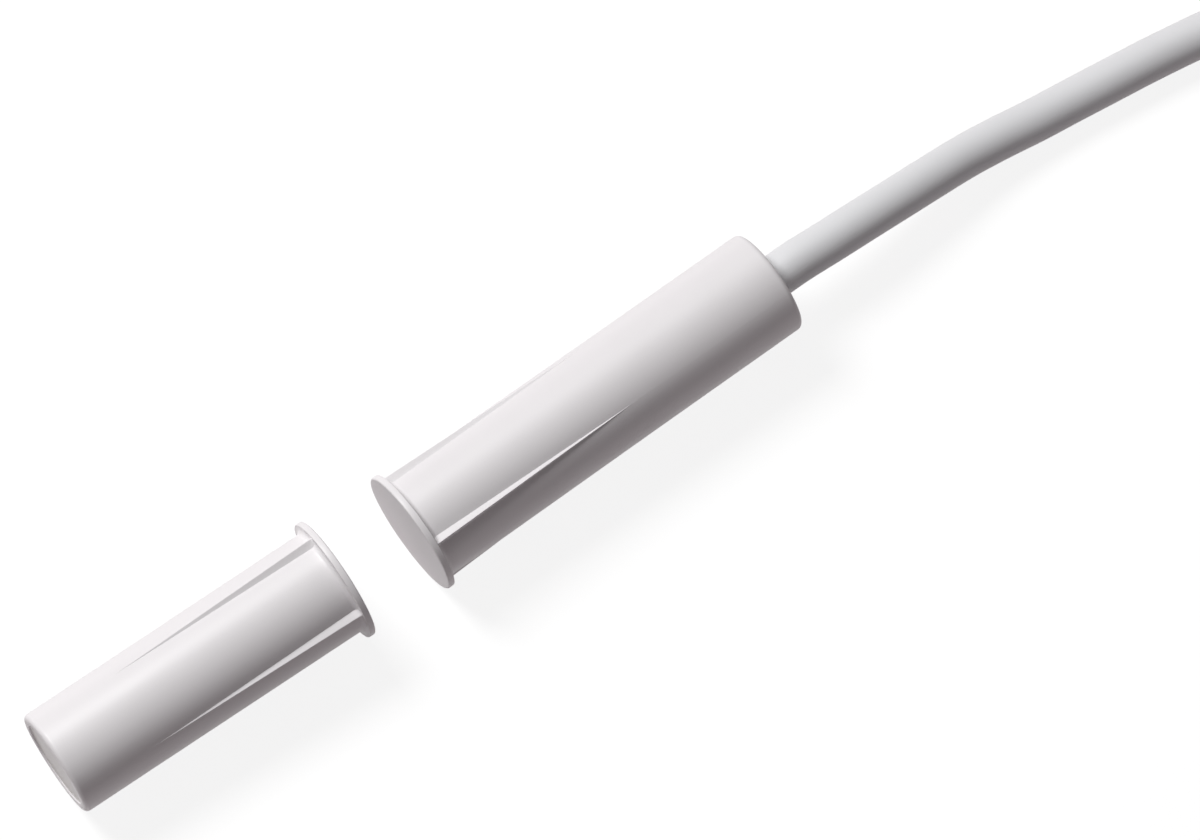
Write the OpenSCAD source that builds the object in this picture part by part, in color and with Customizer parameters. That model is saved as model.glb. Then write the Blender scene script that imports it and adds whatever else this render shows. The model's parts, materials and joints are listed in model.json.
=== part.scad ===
// Recessed magnetic contact: a flanged barrel that holds a reed switch on a four-core lead,
// and the flanged barrel that holds its magnet. Both are pushed into drilled holes, face to face.
// Lengths are in millimetres. The origin is the centre of the switch barrel's front face.
// +X runs back along the switch barrel to its lead, and +Z is up. Both barrels lie on their sides.

/* [Barrels] */
// Diameter of both barrels, a push fit in the drilled hole
barrel_d = 8.0; // [8:0.1:11]
// Thickness of the barrel's wall
wall = 0.8; // [0.5:0.05:0.8]
// Thickness of the closed front wall
face_t = 1.0; // [0.6:0.1:1.5]
// How much thicker each barrel's radius gets towards the flange, so that it tightens in its hole
swell = 0.04; // [0.01:0.01:0.1]
// Distance from the front face to the point where the barrel becomes a plain cylinder
swell_l = 18.5; // [18.5:0.5:23]
// Rounding of the outer edge of the open back end
end_round = 0.35; // [0.1:0.05:0.6]
// How far the resin stays below the open back end
fill_recess = 0.15; // [0.1:0.05:1]

/* [Flange] */
// Diameter of the flange at the front face
flange_d = 9.4; // [9.4:0.1:13]
// Thickness of the flange's rim
flange_t = 0.5; // [0.3:0.05:1]
// Radius of the fillet between the flange and the barrel
flange_fillet = 0.4; // [0.2:0.05:0.5]
// Rounding of the flange's front edge
flange_round = 0.12; // [0.05:0.01:0.2]

/* [Grip ribs] */
// Number of ribs on each barrel
rib_count = 4; // [2:1:8]
// Height of the ribs where they leave the flange
rib_h = 0.5; // [0.1:0.05:0.6]
// Slope of a rib's two sides, in degrees
rib_slope = 54; // [40:1:65]
// Distance from the front face to the point where a rib has sunk into the barrel
rib_l = 18; // [8:0.5:18]
// Turn of the switch barrel's first rib from the top, towards -Y
switch_rib_turn = 37.5; // [0:0.5:90]
// Turn of the magnet barrel's first rib from the top, towards -Y
magnet_rib_turn = 59; // [0:0.5:90]

/* [Switch half] */
// Length of the switch half
switch_l = 31.6; // [31:0.2:45]
// Outside diameter of the reed's glass
glass_d = 2.0; // [1.8:0.1:2.3]
// Length of the reed's glass
glass_l = 10; // [8:0.5:14.5]
// Thickness of the glass
glass_t = 0.35; // [0.25:0.05:0.45]
// Length of the solid seal at each end of the glass
seal_l = 1.6; // [1:0.1:2.5]
// Thickness of the soft carrier between the glass and the bore
carrier_t = 0.6; // [0.3:0.05:0.8]
// Width of a reed blade
blade_w = 1.0; // [0.6:0.05:1.2]
// Thickness of a reed blade
blade_t = 0.15; // [0.1:0.01:0.2]
// Overlap of the two blades
blade_lap = 1.4; // [0.6:0.1:3]
// Open gap between the two blades
contact_gap = 0.12; // [0.05:0.01:0.15]
// Diameter of the reed's round leads
lead_d = 0.5; // [0.4:0.05:0.6]

/* [Magnet half] */
// Length of the magnet half
magnet_half_l = 23.8; // [22:0.2:36]
// Length of the bar magnet
magnet_l = 18; // [8:0.5:20]
// Clearance between the bar magnet and its bore
magnet_clearance = 0.1; // [0.05:0.05:0.3]
// Distance between the two front faces
gap = 5.9; // [1:0.1:20]
// Sideways shift of the magnet's front face from the switch's axis
magnet_shift = 0.4; // [-3:0.1:3]
// Turn of the magnet barrel from the switch's axis, in degrees
magnet_yaw = 1.7; // [-5:0.1:5]

/* [Lead] */
// Outside diameter of the lead
cable_d = 3.2; // [3.1:0.1:3.6]
// Thickness of the lead's jacket
jacket_t = 0.35; // [0.25:0.05:0.35]
// Diameter of one insulated core
core_d = 1.0; // [0.8:0.05:1]
// Diameter of the copper in one core
wire_d = 0.45; // [0.3:0.05:0.45]
// Length of jacket inside the barrel
jacket_grip = 4.4; // [3:0.1:4.6]
// Length of jacket that stands out of the resin's inner face
jacket_free = 0.4; // [0.2:0.1:1]
// Thickness of a heat-shrink sleeve
shrink_t = 0.25; // [0.15:0.05:0.3]
// Length of a solder joint
joint_l = 2; // [1:0.1:2.2]

/* [Hank] */
// Straight length of the hank's runs
hank_run = 24; // [16:1:60]
// Bend radius of the innermost turn
bend_r = 9.6; // [9.6:0.1:16]
// Turns side by side
hank_rows = 3; // [2:1:5]
// Turns on top of each other
hank_levels = 6; // [2:1:8]
// Width of the tie around the hank
tie_w = 5; // [3:0.5:8]
// Thickness of the tie
tie_t = 0.6; // [0.3:0.1:1]
// Length of the tie's twisted end
twist_l = 8; // [4:1:12]
// Distance along the top of the hank to the cut end of the jacket
tail_run = 7; // [2:1:14]
// Length of the cores outside the cut end of the jacket
tail_l = 20; // [12:1:20]
// Length of the tinned copper at the end of each core
tip_l = 5; // [3:0.5:8]

/* [Hidden] */
$fn = 64;
eps = 0.01;

barrel_r = barrel_d / 2;
root_r = barrel_r + swell;
bore_r = barrel_r - wall;
shrink_r = core_d / 2 + shrink_t;
core_place = core_d * 0.52;      // each core's distance from the lead's centre along Y and along Z
// The reed lies along one side of the bore, and its front lead turns back along the other side
reed_y = bore_r - carrier_t - glass_d / 2;
return_y = -(bore_r - carrier_t / 2 - shrink_r);
turn_r = (reed_y - return_y) / 2;
turn_gap = 0.35;                 // air between the lead's bend and the front wall
turn_x = face_t + turn_gap + lead_d / 2 + turn_r;
free_lead = 0.8;                 // bare lead between the glass and the next piece
glass_x = turn_x + free_lead;
glass_end = glass_x + glass_l;
front_joint = turn_x + free_lead + joint_l / 2;
rear_joint = glass_end + free_lead + joint_l / 2;
strip_l = joint_l / 2 + 0.5;     // bare copper in front of each core's insulation
jacket_x = switch_l - jacket_grip;
fan_x = jacket_x - 0.5;          // the cores leave the jacket and start to part here
sleeve_lap = 1;                  // length of each sleeve over the insulation
bend_x = rear_joint + strip_l + sleeve_lap + core_d * 0.8;
tamper_z = -1.8 * core_d;
tamper_x = bend_x - 0.2;         // cut end of the tamper cores' insulation
tamper_bare = 1.6;               // bare copper between that end and the solder
tamper_y = 0.6 * core_d;         // half the distance between the two tamper cores
pair_y = 0.58 * wire_d;          // half the distance between their soldered wires

// The lead's route outside the barrel, chosen by hand
route = [
    [31.6, 0, 0], [34, 0, 0], [37, -0.11, -0.2], [40, -0.16, -0.55], [43, -0.18, -1.05],
    [46, -0.18, -1.6], [49, -0.21, -2.15], [52, -0.44, -2.6], [55, -0.8, -2.95], [58, -1.13, -3.1],
    [61, -1.53, -3.1], [64, -1.93, -3.1], [67, -2.4, -3.1], [70, -2.95, -3.05], [72, -3.35, -2.95],
    [74, -3.68, -2.75], [76, -3.9, -2.55], [78, -4, -2.5]
];
route_end = route[len(route) - 1];
nose_l = 12;                     // straight stretch that runs into the hank's outer turn
hank_x = route_end.x + nose_l;
row_r = bend_r + (hank_rows - 1) * cable_d;
hank_y = route_end.y + row_r;
hank_z = route_end.z - cable_d / 2;
hank_out = row_r + cable_d / 2;
hank_in = bend_r - cable_d / 2;
top_z = hank_z + (hank_levels - 1) * cable_d;
tail_x = hank_x + tail_run;             // cut end of the jacket, on top of the hank
tail_place = [tail_x, hank_y - bend_r, top_z + cable_d / 2];

// Shapes that repeat

// A round rod from a to b
module rod(a, b, d) {
    v = b - a;
    translate(a) rotate([0, acos(v.z / norm(v)), atan2(v.y, v.x)]) cylinder(d = d, h = norm(v), $fn = 32);
}

// Points from a to b that leave and arrive along X
function eased(a, b, steps = 8) = [for (i = [0 : steps])
    let (t = i / steps, s = t * t * (3 - 2 * t)) [a.x + (b.x - a.x) * t, a.y + (b.y - a.y) * s, a.z + (b.z - a.z) * s]];

// A round bar along X, centred on (y, z)
module bar(x, l, d, y = 0, z = 0) {
    translate([x, y, z]) rotate([0, 90, 0]) cylinder(d = d, h = l);
}

// What lies outside a quarter circle in the corner at the origin, for rounding an outside edge
module corner(r) {
    difference() {
        square(r + eps);
        circle(r);
    }
}

// Half section of a closed barrel, with radius across and length up
module barrel_section(l) {
    difference() {
        union() {
            polygon([[0, 0], [root_r, 0], [root_r, flange_t + flange_fillet], [barrel_r, swell_l], [barrel_r, l], [0, l]]);
            square([flange_d / 2, flange_t]);
            square([root_r + flange_fillet, flange_t + flange_fillet]);
        }
        translate([root_r + flange_fillet, flange_t + flange_fillet]) circle(flange_fillet);
        translate([barrel_r - end_round, l - end_round]) corner(end_round);
        translate([flange_d / 2 - flange_round, flange_round]) mirror([0, 1]) corner(flange_round);
        translate([0, face_t]) square([bore_r, l]);
    }
}

// Ribs that grip the hole: three-sided, highest at the flange, sunk into the barrel at rib_l
module grip_ribs(turn) {
    start = flange_t / 2;
    buried = 0.5;                // end of a rib that lies inside the barrel's wall
    foot = barrel_r - wall / 2;  // the ribs' feet lie in the middle of the wall
    crest = root_r + rib_h;
    fall = atan((crest - barrel_r) / (rib_l - start));
    depth = 2 * (crest - foot);
    half = depth / tan(rib_slope);
    for (k = [0 : rib_count - 1]) rotate([turn + k * 360 / rib_count, 0, 0]) intersection() {
        translate([start, 0, crest]) rotate([0, 90 + fall, 0])
            linear_extrude(2 * rib_l) polygon([[0, 0], [depth, half], [depth, -half]]);
        translate([start, -barrel_r / 2, foot]) cube([rib_l + buried - start, barrel_r, barrel_r]);
    }
}

// A flanged barrel along +X from its front face
module barrel(l, turn) {
    rotate([0, 90, 0]) rotate_extrude() barrel_section(l);
    grip_ribs(turn);
}

// Places a child drawn along +X from the origin as the magnet half
module magnet_place() {
    translate([-gap, magnet_shift, 0]) rotate([0, 0, 180 - magnet_yaw]) children();
}

// Cores are numbered yellow 0, blue 1, red 2, black 3. Yellow and red lie on the +Y side.
function side(k) = k % 2 == 0 ? 1 : -1;
function in_jacket(k, x) = [x, side(k) * core_place, (k < 2 ? 1 : -1) * core_place];

// Cut end of each core's insulation
function cut_end(k) =
    k == 0 ? [rear_joint + strip_l, reed_y, 0] :
    k == 1 ? [front_joint + strip_l, return_y, 0] : [tamper_x, side(k) * tamper_y, tamper_z];

// A core inside the barrel, from its cut end to the barrel's back end
module core(k) {
    bend = [k < 2 ? bend_x : tamper_x + core_d, cut_end(k).y, cut_end(k).z];
    swept_tube(concat([cut_end(k)], eased(bend, in_jacket(k, fan_x)), [in_jacket(k, switch_l)]), core_d / 2);
}

// The copper in front of a core of the reed
module copper(k) { bar(cut_end(k).x - strip_l, strip_l, wire_d, cut_end(k).y); }

// The copper in front of a tamper core, drawn in to the other one
module tamper_copper(k) {
    spliced = [tamper_x - tamper_bare, side(k) * pair_y, tamper_z];
    swept_tube(concat([spliced - [joint_l, 0, 0]], eased(spliced, cut_end(k), 5)), wire_d / 2);
}

// A heat-shrink sleeve's outside over a joint at x on the line y
module shrink_outside(x, y) {
    bar(x - joint_l / 2 - 0.3, joint_l / 2 + 0.3 + strip_l + sleeve_lap, shrink_r * 2, y);
}
module shrink_inside(x, y) {
    bar(x - joint_l, 2 * joint_l + strip_l + sleeve_lap, core_d, y);
}

// Section of the tamper sleeve: two cores side by side, grown by t
module pair_section(t) {
    for (k = [2, 3]) translate([side(k) * tamper_y, 0]) circle(core_d / 2 + t);
    translate([-tamper_y, -core_d / 2 - t]) square([2 * tamper_y, core_d + 2 * t]);
}
module pair_bar(x, l, t) {
    translate([x, 0, tamper_z]) rotate([90, 0, 90]) linear_extrude(l) pair_section(t);
}
tamper_sleeve_x = tamper_x - tamper_bare - joint_l - 0.4;
tamper_sleeve_l = tamper_x + 0.8 - tamper_sleeve_x;

// The front blade's lead, bent back through half a circle
module bent_lead() {
    bar(turn_x, free_lead, lead_d, reed_y);
    translate([turn_x, (reed_y + return_y) / 2, 0]) rotate([0, 0, 90])
        rotate_extrude(angle = 180) translate([turn_r, 0]) circle(d = lead_d, $fn = 32);
    bar(turn_x, front_joint - turn_x, lead_d, return_y);
}

// One flat blade and the lead inside its seal
module blade(x, l, side) {
    translate([x, reed_y - blade_w / 2, side * (contact_gap + blade_t) / 2 - blade_t / 2])
        cube([l, blade_w, blade_t]);
}
blade_l = glass_l / 2 - seal_l + blade_lap / 2 + 0.3;

// Outline of the hank seen from above, r out from its middle line
module stadium(r) {
    for (x = [0, hank_run]) translate([x, 0]) circle(r);
    translate([0, -r]) square([hank_run, 2 * r]);
}
module hank_ring(inner, z, h) {
    translate([hank_x, hank_y, z]) linear_extrude(h) difference() {
        stadium(hank_out);
        stadium(inner);
    }
}

// A tube along points, as rings of 8 that stay square to the path
function side_of(p, i) =
    let (a = p[max(i - 1, 0)], b = p[min(i + 1, len(p) - 1)], d = (b - a) / norm(b - a)) cross([0, 0, 1], d) /
    norm(cross([0, 0, 1], d));
function up_of(p, i) =
    let (a = p[max(i - 1, 0)], b = p[min(i + 1, len(p) - 1)], d = (b - a) / norm(b - a)) cross(d, side_of(p, i));
function ring_of(p, i, r) = [for (k = [0 : 7])
    let (t = 22.5 + 45 * k) i == 0 || i == len(p) - 1
        ? p[i] + r * [0, cos(t), sin(t)]
        : p[i] + r * (cos(t) * side_of(p, i) + sin(t) * up_of(p, i))];
module swept_tube(p, r) {
    n = len(p);
    polyhedron(
        points = [for (i = [0 : n - 1]) each ring_of(p, i, r)],
        faces = concat(
            [[for (k = [0 : 7]) k]],
            [for (i = [0 : n - 2], k = [0 : 7]) [8 * i + k, 8 * i + 8 + k, 8 * i + 8 + (k + 1) % 8, 8 * i + (k + 1) % 8]],
            [[for (k = [7 : -1 : 0]) 8 * (n - 1) + k]]));
}

// Pieces of the switch half

module switch_housing() { color("white") barrel(switch_l, switch_rib_turn); }

module switch_resin() {
    color("gainsboro") difference() {
        bar(jacket_x + jacket_free, jacket_grip - jacket_free - fill_recess, bore_r * 2);
        bar(jacket_x, 2 * jacket_grip, cable_d);
    }
}

// Soft moulding that fills the bore, with a hole for the glass and one for the returning core
module reed_carrier() {
    color("lightgrey") difference() {
        bar(glass_x, glass_l, bore_r * 2);
        bar(glass_x - 1, glass_l + 2, glass_d, reed_y);
        bar(glass_x - 1, glass_l + 2, core_d, return_y);
        shrink_outside(front_joint, return_y);
    }
}

module reed_glass() {
    color("palegreen") translate([glass_x, reed_y, 0]) rotate([0, 90, 0]) rotate_extrude() difference() {
        square([glass_d / 2, glass_l]);
        square([lead_d / 2, glass_l]);
        translate([0, seal_l]) square([glass_d / 2 - glass_t, glass_l - 2 * seal_l]);
        translate([glass_d / 2 - glass_t, glass_l - glass_t]) corner(glass_t);
        translate([glass_d / 2 - glass_t, glass_t]) mirror([0, 1]) corner(glass_t);
    }
}

module reed_blade_front() {
    color("silver") {
        bent_lead();
        bar(glass_x, seal_l + 0.3, lead_d, reed_y);
        blade(glass_x + seal_l, blade_l - 0.3, 1);
    }
}

module reed_blade_rear() {
    color("silver") {
        bar(glass_end - seal_l - 0.3, seal_l + 0.3 + rear_joint - glass_end, lead_d, reed_y);
        blade(glass_end - seal_l - blade_l + 0.3, blade_l - 0.3, -1);
    }
}

module core_yellow() { color("gold") core(0); }
module core_blue() { color("royalblue") core(1); }
module core_red() { color("crimson") core(2); }
module core_black() { color("black") core(3); }
module wire_yellow() { color("peru") copper(0); }
module wire_blue() { color("peru") copper(1); }
module wire_red() { color("peru") tamper_copper(2); }
module wire_black() { color("peru") tamper_copper(3); }

// Solder around the butted lead and copper at x
module joint(x, y) {
    difference() {
        bar(x - joint_l / 2, joint_l, core_d, y);
        bar(x - joint_l, joint_l, lead_d, y);
        bar(x, joint_l, wire_d, y);
    }
}
module solder_front() { color("darkgrey") joint(front_joint, return_y); }
module solder_rear() { color("darkgrey") joint(rear_joint, reed_y); }
module solder_tamper() {
    color("darkgrey") difference() {
        bar(tamper_x - tamper_bare - joint_l, joint_l, core_d, 0, tamper_z);
        for (k = [2, 3]) bar(tamper_x - tamper_bare - 2 * joint_l, 3 * joint_l, wire_d, side(k) * pair_y, tamper_z);
    }
}

module sleeve(x, y) {
    difference() {
        shrink_outside(x, y);
        shrink_inside(x, y);
    }
}
module shrink_front() { color("dimgrey") sleeve(front_joint, return_y); }
module shrink_rear() { color("dimgrey") sleeve(rear_joint, reed_y); }
module shrink_tamper() {
    color("dimgrey") difference() {
        pair_bar(tamper_sleeve_x, tamper_sleeve_l, shrink_t);
        pair_bar(tamper_sleeve_x - 1, tamper_sleeve_l + 2, 0);
    }
}

module lead_jacket() {
    color("whitesmoke") difference() {
        bar(jacket_x, jacket_grip, cable_d);
        bar(jacket_x - 1, jacket_grip + 2, cable_d - 2 * jacket_t);
    }
}

// Pieces of the magnet half

module magnet_housing() { color("white") magnet_place() barrel(magnet_half_l, -magnet_rib_turn); }
module bar_magnet() {
    color("slategrey") magnet_place() bar(face_t, magnet_l, 2 * (bore_r - magnet_clearance));
}
module magnet_resin() {
    color("gainsboro") magnet_place()
        bar(face_t + magnet_l, magnet_half_l - fill_recess - face_t - magnet_l, bore_r * 2);
}

// The free lead, put away in a hank

module cable_run() { color("whitesmoke") swept_tube(route, cable_d / 2); }

module cable_hank() {
    color("whitesmoke") {
        hank_ring(hank_in, hank_z, (hank_levels - 1) * cable_d);
        hank_ring(hank_in + cable_d, top_z, cable_d);
        translate([hank_x, tail_place.y - cable_d / 2, top_z]) cube([tail_x - hank_x, cable_d, cable_d]);
        translate([route_end.x, route_end.y - cable_d / 2, hank_z]) cube([nose_l, cable_d, cable_d]);
    }
}

module hank_tie() {
    width = 2 * hank_out;
    height = hank_levels * cable_d;
    twist_d = 2.6 * tie_t;
    color("white") translate([hank_x + hank_run / 2, hank_y, hank_z]) {
        difference() {
            translate([-tie_w / 2, -width / 2 - tie_t, -tie_t]) cube([tie_w, width + 2 * tie_t, height + 2 * tie_t]);
            translate([-tie_w, -width / 2, 0]) cube([2 * tie_w, width, height]);
        }
        bar(tie_w / 2, twist_l, twist_d, width / 4, height + twist_d / 2);
    }
}

// One core outside the jacket, and its tinned end
function tail_point(k, x) = tail_place + in_jacket(k, x);
module tail(k) { rod(tail_point(k, 0), tail_point(k, tail_l - tip_l), core_d); }
module tip(k) { rod(tail_point(k, tail_l - tip_l), tail_point(k, tail_l), wire_d); }
module tail_yellow() { color("gold") tail(0); }
module tail_blue() { color("royalblue") tail(1); }
module tail_red() { color("crimson") tail(2); }
module tail_black() { color("black") tail(3); }
module tip_yellow() { color("silver") tip(0); }
module tip_blue() { color("silver") tip(1); }
module tip_red() { color("silver") tip(2); }
module tip_black() { color("silver") tip(3); }

switch_housing();
switch_resin();
reed_carrier();
reed_glass();
reed_blade_front();
reed_blade_rear();
core_yellow();
core_blue();
core_red();
core_black();
wire_yellow();
wire_blue();
wire_red();
wire_black();
solder_front();
solder_rear();
solder_tamper();
shrink_front();
shrink_rear();
shrink_tamper();
lead_jacket();
magnet_housing();
bar_magnet();
magnet_resin();
cable_run();
cable_hank();
hank_tie();
tail_yellow();
tail_blue();
tail_red();
tail_black();
tip_yellow();
tip_blue();
tip_red();
tip_black();
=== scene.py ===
import json
import math
import bpy
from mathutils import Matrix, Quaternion, Vector


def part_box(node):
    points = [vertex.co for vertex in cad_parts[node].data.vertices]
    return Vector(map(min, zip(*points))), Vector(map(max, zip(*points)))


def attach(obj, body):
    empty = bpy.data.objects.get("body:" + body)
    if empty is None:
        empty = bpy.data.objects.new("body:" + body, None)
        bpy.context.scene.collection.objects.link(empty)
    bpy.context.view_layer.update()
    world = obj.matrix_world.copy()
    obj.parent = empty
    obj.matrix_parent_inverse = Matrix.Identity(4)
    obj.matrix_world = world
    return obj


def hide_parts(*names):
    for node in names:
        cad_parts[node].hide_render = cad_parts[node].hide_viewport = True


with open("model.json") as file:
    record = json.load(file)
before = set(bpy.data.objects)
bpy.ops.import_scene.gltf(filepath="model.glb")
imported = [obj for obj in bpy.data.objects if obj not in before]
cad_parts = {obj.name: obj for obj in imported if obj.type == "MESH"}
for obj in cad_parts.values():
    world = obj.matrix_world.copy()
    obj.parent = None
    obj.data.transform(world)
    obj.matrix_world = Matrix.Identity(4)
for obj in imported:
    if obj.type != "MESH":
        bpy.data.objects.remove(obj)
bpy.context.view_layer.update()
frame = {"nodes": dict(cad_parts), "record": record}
mm = 0.001
print("frame loaded,", len(frame["nodes"]), "nodes")


# camera

photoView = dict(
    target=(15.74, -1.20, 0.0),      # mm, the point at the middle of the picture
    azimuth=-37.1, elevation=71.2, roll=0.45,
    distance=528.0, lens=225.0,      # mm
)


def makeCamera(view):
    a, e = math.radians(view["azimuth"]), math.radians(view["elevation"])
    back = Vector((math.sin(a) * math.cos(e), -math.cos(a) * math.cos(e), math.sin(e)))
    data = bpy.data.cameras.new("photoCamera")
    data.lens = view["lens"]
    data.clip_start, data.clip_end = 0.01, 10
    camera = bpy.data.objects.new("photoCamera", data)
    camera.location = (Vector(view["target"]) + back * view["distance"]) * mm
    camera.rotation_mode = "QUATERNION"
    roll = Quaternion((0, 0, 1), math.radians(view["roll"]))
    camera.rotation_quaternion = back.to_track_quat("Z", "Y") @ roll
    bpy.context.scene.collection.objects.link(camera)
    bpy.context.scene.camera = camera


makeCamera(photoView)
print("camera placed")


# shader nodes

class Wire:
    # one output of a node, which can be used in sums
    def __init__(self, shader, socket):
        self.shader, self.socket = shader, socket

    def sum(self, operation, first, second):
        return self.shader.node("ShaderNodeMath", dict(operation=operation), {0: first, 1: second})

    def __add__(self, other):
        return self.sum("ADD", self, other)

    def __rsub__(self, other):
        return self.sum("SUBTRACT", other, self)

    def __mul__(self, other):
        return self.sum("MULTIPLY", self, other)

    __radd__, __rmul__ = __add__, __mul__


class Shader:
    def __init__(self, tree):
        self.tree = tree
        tree.nodes.clear()

    def node(self, kind, settings=None, sockets=None, out=0):
        made = self.tree.nodes.new(kind)
        for key, value in (settings or {}).items():
            setattr(made, key, value)
        for key, value in (sockets or {}).items():
            if isinstance(value, Wire):
                self.tree.links.new(value.socket, made.inputs[key])
            elif isinstance(value, tuple) and len(value) == 3 and made.inputs[key].type == "RGBA":
                made.inputs[key].default_value = (*value, 1)
            else:
                made.inputs[key].default_value = value
        return Wire(self, made.outputs[out]) if made.outputs else made

    def blend(self, factor, first, second):
        sockets = {"Factor": factor, 6: first, 7: second}
        return self.node("ShaderNodeMix", dict(data_type="RGBA"), sockets, out=2)

    def place(self):
        return self.node("ShaderNodeTexCoord", out="Object")

    def noise(self, size, detail, stretch=(1, 1, 1)):
        sockets = {0: self.place(), 1: stretch}
        spread = self.node("ShaderNodeVectorMath", dict(operation="MULTIPLY"), sockets)
        sockets = {"Vector": spread, "Scale": 1 / (size * mm), "Detail": detail}
        return self.node("ShaderNodeTexNoise", {}, sockets)

    def bump(self, height, depth, over=None):
        sockets = {"Height": height, "Distance": depth * mm}
        if over:
            sockets["Normal"] = over
        return self.node("ShaderNodeBump", {}, sockets)


def makeMaterial(name, paint, **values):
    material = bpy.data.materials.new(name)
    material.use_nodes = True
    shader = Shader(material.node_tree)
    values.update(paint(shader))
    surface = shader.node("ShaderNodeBsdfPrincipled", {}, values)
    shader.node("ShaderNodeOutputMaterial", {}, {"Surface": surface})
    return material


# materials

def mouldedWhite():
    look = dict(
        bright=(0.876, 0.856, 0.867), dull=(0.842, 0.822, 0.832),
        patch=3.5, patchShare=0.6, flowShare=0.4,
        flow=1.4, flowStretch=(0.12, 1, 1), flowDepth=0.01,       # faint flow lines along the barrel
        skin=0.16, skinDepth=0.004,
        rough=0.34, patchRough=0.1, skinRough=0.05,
    )

    def paint(s):
        patches = s.noise(look["patch"], 3)
        flow = s.noise(look["flow"], 2, look["flowStretch"])
        skin = s.noise(look["skin"], 3)
        tone = patches * look["patchShare"] + flow * look["flowShare"]
        return {
            "Base Color": s.blend(tone, look["dull"], look["bright"]),
            "Roughness": look["rough"] + look["patchRough"] * patches + look["skinRough"] * skin,
            "Normal": s.bump(skin, look["skinDepth"], over=s.bump(flow, look["flowDepth"])),
        }
    return makeMaterial("mouldedWhite", paint, IOR=1.5)


def jacketWhite():
    look = dict(
        bright=(0.838, 0.845, 0.858), dull=(0.803, 0.81, 0.824),
        patch=6.0, patchShare=0.7, grainShare=0.3,
        waves=2.6, waveDepth=0.03,                                # the cores below show as slight waves
        grain=0.22, grainDepth=0.006, rough=0.42, grainRough=0.12,
    )

    def paint(s):
        patches = s.noise(look["patch"], 2)
        waves = s.noise(look["waves"], 1)
        grain = s.noise(look["grain"], 4)
        tone = patches * look["patchShare"] + grain * look["grainShare"]
        return {
            "Base Color": s.blend(tone, look["dull"], look["bright"]),
            "Roughness": look["rough"] + look["grainRough"] * grain,
            "Normal": s.bump(grain, look["grainDepth"], over=s.bump(waves, look["waveDepth"])),
        }
    return makeMaterial("jacketWhite", paint, IOR=1.48)


def castResin():
    look = dict(
        bright=(0.80, 0.79, 0.775), dull=(0.73, 0.72, 0.70),
        cloud=1.6, cloudDepth=0.03, rough=0.32, cloudRough=0.16,
        bubble=0.7, pit=0.16, pitDepth=0.02,                      # a pit is low only near a bubble's middle
    )

    def paint(s):
        cloud = s.noise(look["cloud"], 3)
        spacing = {"Vector": s.place(), "Scale": 1 / (look["bubble"] * mm)}
        bubbles = s.node("ShaderNodeTexVoronoi", {}, spacing)
        pits = s.node("ShaderNodeMapRange", {}, {0: bubbles, 2: look["pit"]})
        return {
            "Base Color": s.blend(cloud, look["dull"], look["bright"]),
            "Roughness": look["rough"] + look["cloudRough"] * cloud,
            "Normal": s.bump(pits, look["pitDepth"], over=s.bump(cloud, look["cloudDepth"])),
        }
    return makeMaterial("castResin", paint, IOR=1.55)


def greenGlass():
    look = dict(dull=(0.60, 0.80, 0.66), bright=(0.68, 0.86, 0.72), streak=1.2, streakStretch=(0.2, 1, 1),
                rough=0.02, streakRough=0.04)

    def paint(s):
        streaks = s.noise(look["streak"], 2, look["streakStretch"])
        return {
            "Base Color": s.blend(streaks, look["dull"], look["bright"]),
            "Roughness": look["rough"] + look["streakRough"] * streaks,
        }
    return makeMaterial("greenGlass", paint, **{"Transmission Weight": 0.85, "IOR": 1.5})


def grained(name, dark, light, broad, fine, rough, depth, stretch=(1, 1, 1), **values):
    # broad and fine are the size and detail of the noise behind the colour and behind the surface
    def paint(s):
        tone = s.noise(*broad)
        grain = s.noise(*fine, stretch)
        return {
            "Base Color": s.blend(tone, dark, light),
            "Roughness": rough[0] + rough[1] * grain,
            "Normal": s.bump(grain, depth),
        }
    return makeMaterial(name, paint, **values)


def metal(name, dark, light, grainSize, rough, stretch=(0.08, 1, 1)):
    return grained(name, dark, light, broad=(1.1, 3), fine=(grainSize, 3), rough=(rough, 0.14), depth=0.003,
                   stretch=stretch, Metallic=1.0)


def insulation(name, dull, bright):
    return grained(name, dull, bright, broad=(2.0, 2), fine=(0.25, 3), rough=(0.36, 0.16), depth=0.005,
                   IOR=1.5)


def tieRibbon():
    look = dict(dull=(0.80, 0.80, 0.79), bright=(0.87, 0.87, 0.86), grain=0.4, grainDepth=0.008,
                ribScale=260.0, ribDepth=0.02, rough=0.3, grainRough=0.15)

    def paint(s):
        bands = {"Vector": s.place(), "Scale": look["ribScale"]}
        ribs = s.node("ShaderNodeTexWave", dict(bands_direction="X"), bands)
        grain = s.noise(look["grain"], 3)
        return {
            "Base Color": s.blend(grain, look["dull"], look["bright"]),
            "Roughness": look["rough"] + look["grainRough"] * grain,
            "Normal": s.bump(ribs, look["ribDepth"], over=s.bump(grain, look["grainDepth"])),
        }
    return makeMaterial("tieRibbon", paint)


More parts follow.
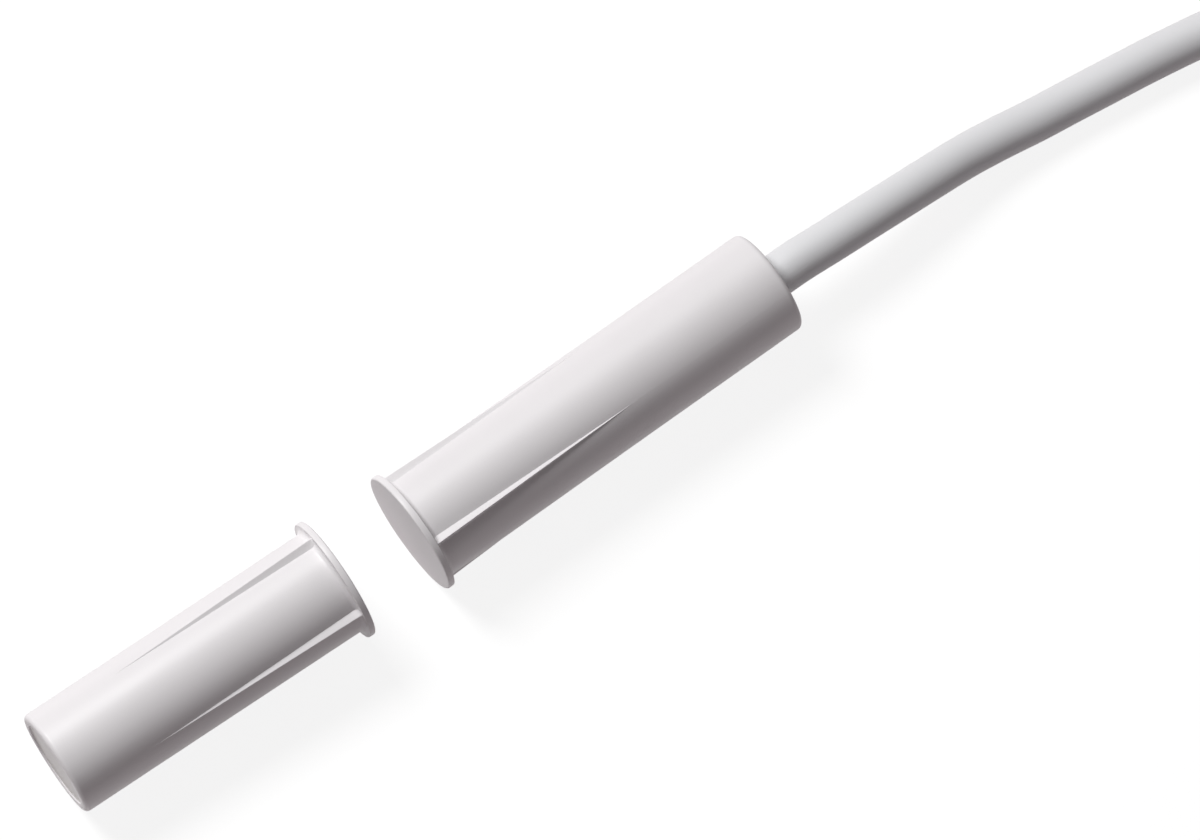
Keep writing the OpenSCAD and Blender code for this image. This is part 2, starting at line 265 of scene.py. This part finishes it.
finishes = {
    "housing_white": mouldedWhite(),
    "jacket_white": jacketWhite(),
    "resin": castResin(),
    "reed_glass": greenGlass(),
    "tie_white": tieRibbon(),
    "carrier": grained("softCarrier", (0.5, 0.5, 0.49), (0.6, 0.6, 0.59),
                       broad=(0.3, 4), fine=(0.3, 4), rough=(0.7, 0.15), depth=0.01),
    "heat_shrink": grained("shrunkSleeve", (0.018, 0.018, 0.02), (0.05, 0.05, 0.052),
                           broad=(0.8, 3), fine=(0.8, 3), rough=(0.45, 0.2), depth=0.02),
    "magnet_metal": grained("castMagnet", (0.28, 0.275, 0.27), (0.42, 0.42, 0.42),
                            broad=(2.5, 3), fine=(0.5, 5), rough=(0.38, 0.3), depth=0.03, Metallic=1.0),
    "reed_metal": metal("reedMetal", (0.50, 0.48, 0.46), (0.62, 0.60, 0.57), 0.12, 0.22),
    "tinned_copper": metal("tinnedCopper", (0.58, 0.56, 0.53), (0.72, 0.70, 0.67), 0.1, 0.24),
    "solder": metal("dullSolder", (0.48, 0.48, 0.49), (0.62, 0.62, 0.63), 0.4, 0.3, stretch=(1, 1, 1)),
    "insulation_yellow": insulation("yellowCore", (0.74, 0.52, 0.03), (0.82, 0.60, 0.05)),
    "insulation_blue": insulation("blueCore", (0.03, 0.12, 0.46), (0.05, 0.17, 0.56)),
    "insulation_red": insulation("redCore", (0.52, 0.03, 0.025), (0.64, 0.05, 0.04)),
    "insulation_black": insulation("blackCore", (0.016, 0.016, 0.017), (0.034, 0.034, 0.036)),
}
for part in frame["record"]["subparts"]:
    node = frame["nodes"][part["node"]]
    node.data.materials.clear()
    node.data.materials.append(finishes[part["material_slot"]])
print("materials made,", len(finishes))


# mesh helpers

def finishMesh(name, points, faces, slot, sharp=38.0):
    mesh = bpy.data.meshes.new(name)
    mesh.from_pydata([Vector(p) * mm for p in points], [], faces)
    mesh.validate()
    for face in mesh.polygons:
        face.use_smooth = True
    mesh.set_sharp_from_angle(angle=math.radians(sharp))
    piece = bpy.data.objects.new(name, mesh)
    bpy.context.scene.collection.objects.link(piece)
    mesh.materials.append(finishes[slot])
    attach(piece, "root")
    return piece


def arc(centre, radius, start, end, steps):
    # points of an arc in the plane of x and radius, angles in degrees
    turns = [math.radians(start + (end - start) * i / steps) for i in range(steps + 1)]
    return [(centre[0] + radius * math.cos(t), centre[1] + radius * math.sin(t)) for t in turns]


def ease(t):
    return t * t * (3 - 2 * t)


def smoothed(points, steps):
    # a curve through given points
    out = []
    for i in range(len(points) - 1):
        p = [Vector(points[max(0, min(len(points) - 1, i + k))]) for k in (-1, 0, 1, 2)]
        for j in range(steps):
            t = j / steps
            out.append(0.5 * (2 * p[1] + (p[2] - p[0]) * t + (2 * p[0] - 5 * p[1] + 4 * p[2] - p[3]) * t ** 2
                              + (3 * p[1] - p[0] - 3 * p[2] + p[3]) * t ** 3))
    return out + [Vector(points[-1])]


def quads(count, n, closed=False):
    # faces between rings of n points each; closed joins the last ring to the first
    faces = []
    for i in range(count if closed else count - 1):
        a, b = i * n, (i + 1) % count * n
        faces += [(a + k, a + (k + 1) % n, b + (k + 1) % n, b + k) for k in range(n)]
    return faces


def tube(points, radius, sides):
    # rings carried along a path without twist, with flat ends
    across = (points[1] - points[0]).normalized().orthogonal().normalized()
    last = len(points) - 1
    verts = []
    for i, p in enumerate(points):
        along = (points[min(i + 1, last)] - points[max(i - 1, 0)]).normalized()
        across = (across - along * across.dot(along)).normalized()
        up = along.cross(across)
        for k in range(sides):
            t = 2 * math.pi * k / sides
            verts.append(p + (across * math.cos(t) + up * math.sin(t)) * radius)
    caps = [tuple(reversed(range(sides))), tuple(range(last * sides, len(verts)))]
    return verts, quads(len(points), sides) + caps


def skinned(rings, ends=()):
    # a skin over rings of points, which closes on its two end points, or on itself where it has none
    n, count = len(rings[0]), len(rings)
    verts = [p for ring in rings for p in ring] + list(ends)
    faces = quads(count, n, closed=not ends)
    if ends:
        last, first = (count - 1) * n, count * n
        faces += [(first, (k + 1) % n, k) for k in range(n)]
        faces += [(last + k, last + (k + 1) % n, first + 1) for k in range(n)]
    return verts, faces


def spot(x, radius, angle):
    # a point at this distance from the x axis, turned from straight up towards -y
    return Vector((x, -radius * math.sin(angle), radius * math.cos(angle)))


def joined(parts):
    verts, faces = [], []
    for v, f in parts:
        faces += [tuple(i + len(verts) for i in face) for face in f]
        verts += v
    return verts, faces


# lead, with its unseen length in a hank

lead = dict(
    diameter=3.2,
    length=2.0,                      # m
    route=[                          # mm
        (31.6, 0, 0), (34, 0, 0), (37, -0.11, -0.2), (40, -0.16, -0.55), (43, -0.18, -1.05),
        (46, -0.18, -1.6), (49, -0.21, -2.15), (52, -0.44, -2.6), (55, -0.8, -2.95), (58, -1.13, -3.1),
        (61, -1.53, -3.1), (64, -1.93, -3.1), (67, -2.4, -3.1), (70, -2.95, -3.05), (72, -3.35, -2.95),
        (74, -3.68, -2.75), (76, -3.9, -2.55), (78, -4, -2.5),
    ],
    nose=12.0,                       # straight stretch that runs into the hank
    run=24.0, bend=9.6, rows=3, levels=6,
    topRun=7.0,                      # the jacket ends this far along the top run
    arcSteps=26, routeSteps=6, straightSteps=4, roundSteps=9,
)


def hankPlaces(k):
    # where the hank starts, its near end, its outer turn's radius and its middle line
    start = Vector(k["route"][-1])
    outer = k["bend"] + (k["rows"] - 1) * k["diameter"]
    return dict(start=start, near=start.x + k["nose"], outer=outer, middle=start.y + outer)


def leadPath(k):
    h = hankPlaces(k)
    near, far = h["near"], h["near"] + k["run"]
    points = smoothed(k["route"], k["routeSteps"])

    def radiusOf(row):
        return h["outer"] - row * k["diameter"]

    def zOf(level):
        return h["start"].z + level * k["diameter"]

    def straight(fromX, toX, y, z):
        for i in range(k["straightSteps"] + 1):
            points.append(Vector((fromX + (toX - fromX) * i / k["straightSteps"], y, z)))

    def turn(centreX, fromAngle, radii, heights):
        for i in range(1, k["arcSteps"]):
            t = i / k["arcSteps"]
            r = radii[0] + (radii[1] - radii[0]) * ease(t)
            angle = fromAngle + math.pi * t
            points.append(Vector((centreX + r * math.cos(angle), h["middle"] + r * math.sin(angle),
                                  heights[0] + (heights[1] - heights[0]) * ease(t))))

    # from the outer row inwards, each row through all its levels, up and down by turns
    row, level, climb = 0, 0, 1
    while True:
        r = radiusOf(row)
        rowEnds = level == (k["levels"] - 1 if climb > 0 else 0)
        if rowEnds and row == k["rows"] - 1:
            straight(near, near + k["topRun"], h["middle"] - r, zOf(level))
            return points
        straight(near, far, h["middle"] - r, zOf(level))
        if rowEnds:
            row, climb = row + 1, -climb
        turn(far, -math.pi / 2, (r, radiusOf(row)), (zOf(level), zOf(level)))
        r = radiusOf(row)
        straight(far, near, h["middle"] + r, zOf(level))
        turn(near, math.pi / 2, (r, r), (zOf(level), zOf(level + climb)))
        level += climb


def makeLead(k):
    path = leadPath(k)
    curve = bpy.data.curves.new("leadJacket", "CURVE")
    curve.dimensions = "3D"
    curve.bevel_depth = k["diameter"] / 2 * mm
    curve.bevel_resolution = k["roundSteps"]
    curve.use_fill_caps = True
    curve.twist_mode = "MINIMUM"
    spline = curve.splines.new("POLY")
    spline.points.add(len(path) - 1)
    for point, place in zip(spline.points, path):
        point.co = (*(place * mm), 1)
    spline.use_smooth = True
    piece = bpy.data.objects.new("leadJacket", curve)
    bpy.context.scene.collection.objects.link(piece)
    curve.materials.append(finishes["jacket_white"])
    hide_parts("cable_run", "cable_hank")
    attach(piece, "root")
    return piece, path


# tinned cores at the lead's far end

tail = dict(
    core=1.0, wire=0.45,
    spread=0.52,                         # each core leaves the jacket in its own quarter
    sway=(0.25, -0.3, 0.35, -0.2), settle=0.5, settleRate=1.6,
    bare=15.0, whole=20.0,               # where the insulation ends, and where the copper does
    coreSteps=20, coreSides=24,
    strands=7, twist=2.6, overlap=0.05, fray=0.15, strandSteps=24, strandSides=10,
)
coreNames = ["yellow", "blue", "red", "black"]


def corePath(k, number, end):
    # the cores splay a little and settle on the turns below
    side = 1 if number % 2 == 0 else -1
    level = 1 if number < 2 else -1
    points = []
    for i in range(k["coreSteps"] + 1):
        t = i / k["coreSteps"]
        points.append(end + Vector((
            k["bare"] * t,
            side * k["spread"] + k["sway"][number] * ease(t),
            level * k["spread"] - k["settle"] * ease(min(1, k["settleRate"] * t)),
        )))
    return points


def makeTail(k, number, end):
    name = coreNames[number]
    points = corePath(k, number, end)
    skin = tube(points, k["core"] / 2, k["coreSides"])
    cover = finishMesh("core_" + name + "_tail", *skin, "insulation_" + name)
    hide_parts("tail_" + name)
    strandR = k["wire"] / 6              # three strands lie side by side across the wire
    length = k["whole"] - k["bare"]
    strands = []
    for n in range(k["strands"]):
        ring = 0 if n == 0 else 2 * strandR
        line = []
        for i in range(k["strandSteps"] + 1):
            t = i / k["strandSteps"]
            turn = 2 * math.pi * (t * length / k["twist"] + n / (k["strands"] - 1))
            out = ring * (1 + k["fray"] * ease(max(0, 3 * t - 2)))    # the last third opens a little
            offset = (t * length - k["overlap"], out * math.cos(turn), out * math.sin(turn))
            line.append(points[-1] + Vector(offset))
        strands.append(tube(line, strandR, k["strandSides"]))
    tip = finishMesh("core_" + name + "_tip", *joined(strands), "tinned_copper")
    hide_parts("tip_" + name)
    return [cover, tip]


# twist tie round the hank

tie = dict(
    width=5.0, thickness=0.6, edge=0.28, rim=0.15,
    wire=0.6, ridge=0.75,                # the ridge over the wire, as a share of the wire's width
    corner=1.6, cornerSteps=12, widthSteps=32,
    twistRadius=0.38, twistPitch=2.9, twistLength=8.0, twistStart=1.2, twistLift=0.02,
    twistSteps=60, twistSides=12,
)


def tieLine(k, low, high):
    # inner line of the band round a box in y and z, with its outward direction
    corners = [(high[0], low[1], -90), (high[0], high[1], 0), (low[0], high[1], 90), (low[0], low[1], 180)]
    line = []
    for y, z, start in corners:
        cy = y - k["corner"] * (1 if y == high[0] else -1)
        cz = z - k["corner"] * (1 if z == high[1] else -1)
        for i in range(k["cornerSteps"] + 1):
            a = math.radians(start + 90 * i / k["cornerSteps"])
            oy, oz = math.cos(a), math.sin(a)
            line.append((cy + k["corner"] * oy, cz + k["corner"] * oz, oy, oz))
    return line


def tieSection(k):
    # the ribbon's outside with rounded rims, as places across it and their heights
    half, section = k["width"] / 2, []
    for i in range(k["widthSteps"] + 1):
        x = -half + k["width"] * i / k["widthSteps"]
        rim = min(1, (half - abs(x)) / k["rim"])
        ridge = math.exp(-(x / (k["wire"] * k["ridge"])) ** 2)
        flat = k["edge"] * math.sqrt(max(0, 1 - (1 - rim) ** 2))
        section.append((x, flat + (k["thickness"] - k["edge"]) * ridge))
    return [(0.0, 0.0)] + section[::-1]


def makeTie(k, cable):
    h, r = hankPlaces(cable), cable["diameter"] / 2
    bottom = h["start"].z - r
    low = (h["middle"] - h["outer"] - r, bottom)
    high = (h["middle"] + h["outer"] + r, bottom + cable["levels"] * cable["diameter"])
    centre, half = h["near"] + cable["run"] / 2, k["width"] / 2
    section = tieSection(k)
    band = skinned([[Vector((centre + x, y + oy * t, z + oz * t)) for x, t in section]
                    for y, z, oy, oz in tieLine(k, low, high)])
    start = Vector((centre + k["twistStart"], h["middle"] + h["outer"] / 2 + r / 2,
                    high[1] + 2 * k["twistRadius"] + k["twistLift"]))
    reach, radius = k["twistLength"] + half - k["twistStart"], k["twistRadius"]
    ends = []
    for n in range(2):
        line = []
        for i in range(k["twistSteps"] + 1):
            t = i / k["twistSteps"]
            turn = math.pi * n + 2 * math.pi * t * k["twistLength"] / k["twistPitch"]
            line.append(start + Vector((t * reach, radius * math.cos(turn), radius * math.sin(turn))))
        ends.append(tube(line, radius, k["twistSides"]))
    piece = finishMesh("twist_tie", *joined([band] + ends), "tie_white", sharp=50)
    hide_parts("hank_tie")
    return piece


leadJacket, leadLine = makeLead(lead)
loosePieces = [makeTie(tie, lead)]
for number in range(len(coreNames)):
    loosePieces += makeTail(tail, number, leadLine[-1])
print("lead made,", len(leadLine), "points")


# the two moulded barrels

barrel = dict(
    radius=4.0, bore=3.2, face=1.0,
    swell=0.04, swellEnd=18.5,           # the ribbed stretch is slightly conical
    flangeRadius=4.7, flange=0.5, fillet=0.4, frontRound=0.12, backRound=0.06,
    endRound=0.35, mouthRound=0.12, innerRound=0.4,
    faceRings=(1.2, 0.04), backRing=0.02, endRing=0.05, mouthRing=0.1,    # these keep flat stretches flat
    swellSteps=44, plainSteps=8, gapSteps=26,
    ribs=4, ribSlope=54.0, ribHeight=0.5, ribEnd=18.0,
    ribRound=0.012, ribSoften=40, ribFade=0.2, leastFoot=0.03,
    ribPlaces=(0, 0.05, 0.1, 0.16, 0.24, 0.4, 0.6, 0.8, 0.88, 0.94, 0.98, 1.02, 1.06, 1.12, 1.2, 1.35),
)
switchHalf = dict(node="switch_housing", name="switch_barrel", ribTurn=37.5)
magnetHalf = dict(node="magnet_housing", name="magnet_barrel", ribTurn=-59.0,
                  length=23.8, gap=5.9, shift=0.4, yaw=1.7)


def barrelProfile(b, length):
    # half outline, from the middle of the front face over the outside and into the bore
    root, rim, face = b["radius"] + b["swell"], b["flangeRadius"], b["flange"]
    front, back, fillet = b["frontRound"], b["backRound"], b["fillet"]
    out = [(0, 0)] + [(0, rim - front - inset) for inset in b["faceRings"]]
    out += arc((front, rim - front), front, 180, 90, steps=6)
    out += arc((face - back, rim - back), back, 90, 0, steps=4)
    out += [(face, rim - back - b["backRing"])]
    out += arc((face + fillet, root + fillet), fillet, 180, 270, steps=10)
    start, steps = face + fillet, b["swellSteps"]
    for i in range(1, steps + 1):
        x = start + (b["swellEnd"] - start) * i / steps
        out.append((x, root + (b["radius"] - root) * i / steps))
    last, steps = length - b["endRound"], b["plainSteps"]
    plain = last - b["endRing"] - b["swellEnd"]
    out += [(b["swellEnd"] + plain * i / steps, b["radius"]) for i in range(1, steps + 1)]
    out += arc((last, b["radius"] - b["endRound"]), b["endRound"], 90, 0, steps=8)
    mouth, inner = b["mouthRound"], b["innerRound"]
    out += arc((length - mouth, b["bore"] + mouth), mouth, 0, -90, steps=5)
    out += [(length - mouth - b["mouthRing"], b["bore"]), (length / 2, b["bore"])]
    out += arc((b["face"] + inner, b["bore"] - inner), inner, 90, 180, steps=6)
    return out + [(b["face"], 0)]


def coneRadius(b, x):
    # the barrel's radius between its ribs
    return b["radius"] + b["swell"] * max(0.0, 1 - x / b["swellEnd"])


def ribTop(b, x):
    # a rib's crest, from the axis; it runs from the flange down into the barrel
    start = b["flange"] / 2
    return b["radius"] + (b["swell"] + b["ribHeight"]) * (b["ribEnd"] - x) / (b["ribEnd"] - start)


def ribShares(b, foot):
    # places across a rib, 1 at the edge of its foot, each with its share of the rib's height
    crest = min(1.0, b["ribRound"] / foot)
    widest = b["ribPlaces"][-1]
    out = []
    for u in b["ribPlaces"]:
        straight = 1 - math.sqrt(u * u + crest * crest)
        soft = (straight + math.sqrt(straight ** 2 + crest * crest / b["ribSoften"])) / 2
        out.append((u, soft * (1 - u / widest) ** b["ribFade"]))
    return [(-u, share) for u, share in reversed(out[1:])] + out


def ribColumns(b, half, x):
    # angles round the barrel, closer together on a low rib, each with its share of the rib's height
    height = ribTop(b, max(x, b["flange"])) - coneRadius(b, x)
    foot = max(b["leastFoot"], height / math.tan(math.radians(b["ribSlope"])))
    shares = ribShares(b, foot)
    apart, steps = 360 / b["ribs"], b["gapSteps"]
    edge = math.degrees(shares[-1][0] * foot / b["radius"])
    columns = []
    for n in range(b["ribs"]):
        middle = half["ribTurn"] + n * apart
        columns += [(middle + math.degrees(u * foot / b["radius"]), share) for u, share in shares]
        columns += [(middle + edge + (apart - 2 * edge) * i / steps, 0) for i in range(1, steps)]
    return columns


def makeBarrel(b, half, place):
    profile = barrelProfile(b, half["length"])
    mouth = max(range(len(profile)), key=lambda i: profile[i][0])    # the points after it are inside
    rings = []
    for i, (x, r) in enumerate(profile[1:-1], 1):
        raised = b["flange"] <= x < b["ribEnd"] and i < mouth
        ring = []
        for angle, share in ribColumns(b, half, x):
            full = r + max(0, ribTop(b, x) - r) * share if raised else r
            ring.append(place(spot(x, full, math.radians(angle))))
        rings.append(ring)
    ends = [place(spot(x, 0, 0)) for x, r in (profile[0], profile[-1])]
    piece = finishMesh(half["name"], *skinned(rings, ends), "housing_white")
    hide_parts(half["node"])


def alongSwitch(p):
    return p


def alongMagnet(p):
    m = magnetHalf
    a = math.radians(180 - m["yaw"])
    x = -m["gap"] + p.x * math.cos(a) - p.y * math.sin(a)
    y = m["shift"] + p.x * math.sin(a) + p.y * math.cos(a)
    return Vector((x, y, p.z))


front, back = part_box("switch_housing")
switchHalf["length"] = (back.x - front.x) / mm
makeBarrel(barrel, switchHalf, alongSwitch)
makeBarrel(barrel, magnetHalf, alongMagnet)
print("barrels made")


# resin in the open ends

resin = dict(
    recess=0.15, sink=0.02, climb=0.05, creep=0.16,
    switchStart=27.6, magnetStart=19.0,
    steps=24, sides=128,
)


def makeFill(k, name, node, place, length, inner, start):
    # resin that creeps up the walls it touches; inner is the lead's radius, or 0 without a lead
    outer, top = barrel["bore"], length - k["recess"] - k["sink"]
    profile = [(start, inner), (start, outer)]
    for i in range(k["steps"] + 1):
        t = i / k["steps"]
        r = outer * (1 - t) + inner * t
        creep = math.exp((r - outer) / k["creep"])
        if inner:
            creep += math.exp((inner - r) / k["creep"])
        profile.append((top + k["climb"] * creep, r))
    angles = [2 * math.pi * i / k["sides"] for i in range(k["sides"])]
    rings = [[place(spot(x, r, a)) for a in angles] for x, r in profile if r > 0]
    ends = [place(spot(x, 0, 0)) for x, r in profile if r == 0]
    piece = finishMesh(name, *skinned(rings, ends), "resin")
    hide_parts(node)


makeFill(resin, "switch_fill", "switch_resin", alongSwitch, switchHalf["length"],
         lead["diameter"] / 2, resin["switchStart"])
makeFill(resin, "magnet_fill", "magnet_resin", alongMagnet, magnetHalf["length"],
         0, resin["magnetStart"])
print("resin made")


# floor and light

studio = dict(
    floorZ=-4.7, floorSize=4.0,      # mm, m
    floorBounce=(0.54, 0.475, 0.49),
    floorGlow=0.87, floorShade=(0.2, 0.2, 0.2),
    keyFrom=(-0.135, 0.494, 0.68), keyDistance=0.4, keySize=0.17, keyLevel=0.915,
    around=0.12, aroundTint=(1.0, 0.93, 0.95),
)


def makeFloor(k):
    half, z = k["floorSize"] / 2, k["floorZ"] * mm
    mesh = bpy.data.meshes.new("floor")
    corners = [(-half, -half, z), (half, -half, z), (half, half, z), (-half, half, z)]
    mesh.from_pydata(corners, [], [(0, 1, 2, 3)])
    floor = bpy.data.objects.new("floor", mesh)
    bpy.context.scene.collection.objects.link(floor)
    material = bpy.data.materials.new("paleFloor")
    material.use_nodes = True
    s = Shader(material.node_tree)
    seen = s.node("ShaderNodeLightPath", out="Is Camera Ray")
    for ray in ("Is Glossy Ray", "Is Transmission Ray"):
        seen = seen + s.node("ShaderNodeLightPath", out=ray)
    bounce = s.node("ShaderNodeBsdfDiffuse", {}, {"Color": k["floorBounce"]})
    glow = s.node("ShaderNodeEmission", {}, {"Color": (1.0, 1.0, 1.0), "Strength": k["floorGlow"]})
    shade = s.node("ShaderNodeBsdfDiffuse", {}, {"Color": k["floorShade"]})
    shown = s.node("ShaderNodeAddShader", {}, {0: glow, 1: shade})
    mix = s.node("ShaderNodeMixShader", {}, {0: seen, 1: bounce, 2: shown})
    s.node("ShaderNodeOutputMaterial", {}, {"Surface": mix})
    mesh.materials.append(material)


def makeLight(k):
    # a soft box at the upper left, and an even low light from all round
    toKey = Vector(k["keyFrom"]).normalized()
    data = bpy.data.lights.new("softBox", "AREA")
    data.shape = "DISK"
    data.size = k["keySize"]
    data.energy = k["keyLevel"] * (math.pi * k["keyDistance"]) ** 2
    softBox = bpy.data.objects.new("softBox", data)
    softBox.location = toKey * k["keyDistance"]
    softBox.rotation_mode = "QUATERNION"
    softBox.rotation_quaternion = toKey.to_track_quat("Z", "Y")
    bpy.context.scene.collection.objects.link(softBox)
    world = bpy.data.worlds.new("studio")
    bpy.context.scene.world = world
    world.use_nodes = True
    s = Shader(world.node_tree)
    seen = s.node("ShaderNodeLightPath", out="Is Camera Ray")
    strength = seen + (1 - seen) * k["around"]
    tint = s.blend(seen, k["aroundTint"], (1.0, 1.0, 1.0))
    light = s.node("ShaderNodeBackground", {}, {"Color": tint, "Strength": strength})
    s.node("ShaderNodeOutputWorld", {}, {"Surface": light})


makeFloor(studio)
makeLight(studio)
bpy.context.scene.view_settings.view_transform = "Standard"
print("floor and light made")
